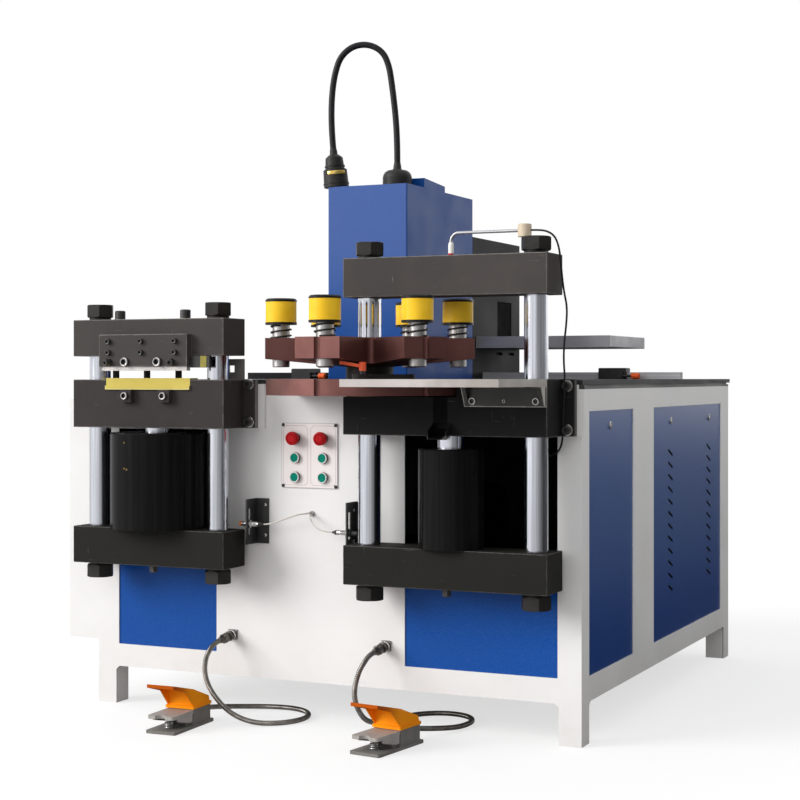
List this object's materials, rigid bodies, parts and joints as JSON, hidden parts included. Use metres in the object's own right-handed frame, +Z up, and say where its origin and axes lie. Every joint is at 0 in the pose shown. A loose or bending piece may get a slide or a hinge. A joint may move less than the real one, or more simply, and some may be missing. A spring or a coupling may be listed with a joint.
{
  "type": "busbar processing machine",
  "caption": "Hydraulic busbar shear, turret punch and bender on a cabinet, with moving press frames, indexing tool turret, sprung punches, gauge stops, buttons and foot pedals.",
  "frame": {"origin": "on the floor at the middle of the plan rectangle of the whole machine", "axes": "+Z up, -Y towards the operator, +X to the operator's right"},
  "size_m": [1.554, 1.973, 1.8844],
  "materials": {
    "white_paint": "satin white stove enamel",
    "frame_paint": "white painted steel",
    "blue_paint": "blue textured powder coat",
    "dark_paint": "dark grey painted steel",
    "table_steel": "dark blued steel plate",
    "black_steel": "black oxide, faintly scratched",
    "black_gloss": "black gloss paint",
    "chrome_column": "ground hard chrome",
    "tool_steel": "ground steel, worn",
    "yellow_paint": "yellow paint",
    "brown_steel": "brown anodised satin",
    "bronze": "bearing bronze",
    "spring_steel": "black spring wire",
    "punch_cap": "yellow cap with black rims on a steel shaft",
    "panel_aluminium": "pale anodised plate with grey bezels",
    "red_plastic": "red moulded plastic",
    "green_plastic": "green moulded plastic",
    "orange_plastic": "orange moulded plastic",
    "grey_cast": "grey painted casting",
    "black_rubber": "black cable sheath",
    "pale_rubber": "pale grey cable sheath",
    "black_plastic": "black moulded plastic",
    "cream_plastic": "cream moulded plastic",
    "conduit_steel": "stripwound steel conduit"
  },
  "bodies": {
    "machine": {"front_sheet": "white_paint", "side_sheets": "white_paint", "cabinet_frame": "frame_paint", "table_top": "table_steel", "blue_panels": "blue_paint", "power_pack": "frame_paint", "shear_middle_beam": "black_steel", "lower_blade": "yellow_paint", "punch_middle_beam": "black_steel", "support_table": "tool_steel", "press_rods": "chrome_column", "guide_bushes": "bronze", "tower_body": "blue_paint", "tower_fittings": "black_plastic", "tower_cable": "black_rubber", "bender_body": "dark_paint", "bender_slab": "tool_steel", "button_panel": "panel_aluminium", "pedal_bases": "grey_cast", "pedal_hoods": "orange_plastic", "pedal_conduits": "conduit_steel", "sensor_cables": "pale_rubber", "cable_sockets": "conduit_steel", "sensors": "black_plastic"},
    "shear_frame": {"shear_upper_beam": "black_steel", "shear_lower_beam": "black_steel", "shear_columns": "chrome_column", "shear_nuts": "black_steel", "shear_barrel": "black_gloss", "blade_holder": "black_steel", "upper_blade": "tool_steel"},
    "punch_frame": {"punch_upper_beam": "black_steel", "punch_lower_beam": "black_steel", "punch_columns": "chrome_column", "punch_nuts": "black_steel", "punch_barrel": "black_gloss", "pointer_lamp": "cream_plastic", "lamp_cable": "black_rubber"},
    "turret": {"turret_upper": "brown_steel", "turret_lower": "brown_steel", "turret_hub": "black_steel", "punch_springs": "spring_steel"},
    "turret_lever": {"turret_lever": "orange_plastic"},
    "left_treadle": {"left_treadle": "grey_cast"},
    "right_treadle": {"right_treadle": "grey_cast"},
    "left_stop": {"left_stop": "tool_steel"},
    "right_stop": {"right_stop": "tool_steel"},
    "bender_ram": {"bender_ram": "tool_steel"},
    "punch_1": {"punch_1": "punch_cap"},
    "punch_2": {"punch_2": "punch_cap"},
    "punch_3": {"punch_3": "punch_cap"},
    "punch_4": {"punch_4": "punch_cap"},
    "punch_5": {"punch_5": "punch_cap"},
    "punch_6": {"punch_6": "punch_cap"},
    "start_button_1": {"start_button_1": "green_plastic"},
    "start_button_2": {"start_button_2": "green_plastic"},
    "start_button_3": {"start_button_3": "green_plastic"},
    "start_button_4": {"start_button_4": "green_plastic"},
    "stop_button_1": {"stop_button_1": "red_plastic"},
    "stop_button_2": {"stop_button_2": "red_plastic"}
  },
  "joints": [
    {"name": "shear_stroke", "type": "slide", "parent": "machine", "child": "shear_frame", "axis": [0, 0, -1], "range_m": [0, 0.03]},
    {"name": "punch_stroke", "type": "slide", "parent": "machine", "child": "punch_frame", "axis": [0, 0, -1], "range_m": [0, 0.026]},
    {"name": "turret_turn", "type": "hinge", "parent": "machine", "child": "turret", "pos_m": [0.2185, -0.6095, 0.9], "axis": [0, 0, 1], "range_deg": [-180, 180]},
    {"name": "bender_push", "type": "slide", "parent": "machine", "child": "bender_ram", "axis": [1, 0, 0], "range_m": [0, 0.08]},
    {"name": "left_stop_slide", "type": "slide", "parent": "machine", "child": "left_stop", "axis": [1, 0, 0], "range_m": [-0.16, 0.28]},
    {"name": "right_stop_slide", "type": "slide", "parent": "machine", "child": "right_stop", "axis": [1, 0, 0], "range_m": [-0.36, 0.11]},
    {"name": "lever_swing", "type": "hinge", "parent": "turret", "child": "turret_lever", "pos_m": [0.2856, -0.78855, 0.935], "axis": [0, 0, 1], "range_deg": [0, 60]},
    {"name": "punch_1_press", "type": "slide", "parent": "turret", "child": "punch_1", "axis": [0, 0, -1], "range_m": [0, 0.024], "stiffness_N_per_m": 12000, "springref_m": -0.012, "deforming": ["punch_springs"]},
    {"name": "punch_2_press", "type": "slide", "parent": "turret", "child": "punch_2", "axis": [0, 0, -1], "range_m": [0, 0.024], "stiffness_N_per_m": 12000, "springref_m": -0.012, "deforming": ["punch_springs"]},
    {"name": "punch_3_press", "type": "slide", "parent": "turret", "child": "punch_3", "axis": [0, 0, -1], "range_m": [0, 0.024], "stiffness_N_per_m": 12000, "springref_m": -0.012, "deforming": ["punch_springs"]},
    {"name": "punch_4_press", "type": "slide", "parent": "turret", "child": "punch_4", "axis": [0, 0, -1], "range_m": [0, 0.024], "stiffness_N_per_m": 12000, "springref_m": -0.012, "deforming": ["punch_springs"]},
    {"name": "punch_5_press", "type": "slide", "parent": "turret", "child": "punch_5", "axis": [0, 0, -1], "range_m": [0, 0.024], "stiffness_N_per_m": 12000, "springref_m": -0.012, "deforming": ["punch_springs"]},
    {"name": "punch_6_press", "type": "slide", "parent": "turret", "child": "punch_6", "axis": [0, 0, -1], "range_m": [0, 0.024], "stiffness_N_per_m": 12000, "springref_m": -0.012, "deforming": ["punch_springs"]},
    {"name": "start_button_1_press", "type": "slide", "parent": "machine", "child": "start_button_1", "axis": [0, 1, 0], "range_m": [0, 0.004], "stiffness_N_per_m": 800, "springref_m": -0.001},
    {"name": "start_button_2_press", "type": "slide", "parent": "machine", "child": "start_button_2", "axis": [0, 1, 0], "range_m": [0, 0.004], "stiffness_N_per_m": 800, "springref_m": -0.001},
    {"name": "start_button_3_press", "type": "slide", "parent": "machine", "child": "start_button_3", "axis": [0, 1, 0], "range_m": [0, 0.004], "stiffness_N_per_m": 800, "springref_m": -0.001},
    {"name": "start_button_4_press", "type": "slide", "parent": "machine", "child": "start_button_4", "axis": [0, 1, 0], "range_m": [0, 0.004], "stiffness_N_per_m": 800, "springref_m": -0.001},
    {"name": "stop_button_1_press", "type": "slide", "parent": "machine", "child": "stop_button_1", "axis": [0, 1, 0], "range_m": [0, 0.0035], "stiffness_N_per_m": 1500, "springref_m": -0.001},
    {"name": "stop_button_2_press", "type": "slide", "parent": "machine", "child": "stop_button_2", "axis": [0, 1, 0], "range_m": [0, 0.0035], "stiffness_N_per_m": 1500, "springref_m": -0.001},
    {"name": "left_treadle_press", "type": "hinge", "parent": "machine", "child": "left_treadle", "pos_m": [-0.27674, -0.737, 0.03], "axis": [0.9994, 0.0349, 0], "range_deg": [0, 8], "stiffness_Nm_per_rad": 20, "springref_deg": -3.44},
    {"name": "right_treadle_press", "type": "hinge", "parent": "machine", "child": "right_treadle", "pos_m": [0.32396, -0.73693, 0.03], "axis": [0.9903, -0.1392, 0], "range_deg": [0, 8], "stiffness_Nm_per_rad": 20, "springref_deg": -3.44}
  ]
}
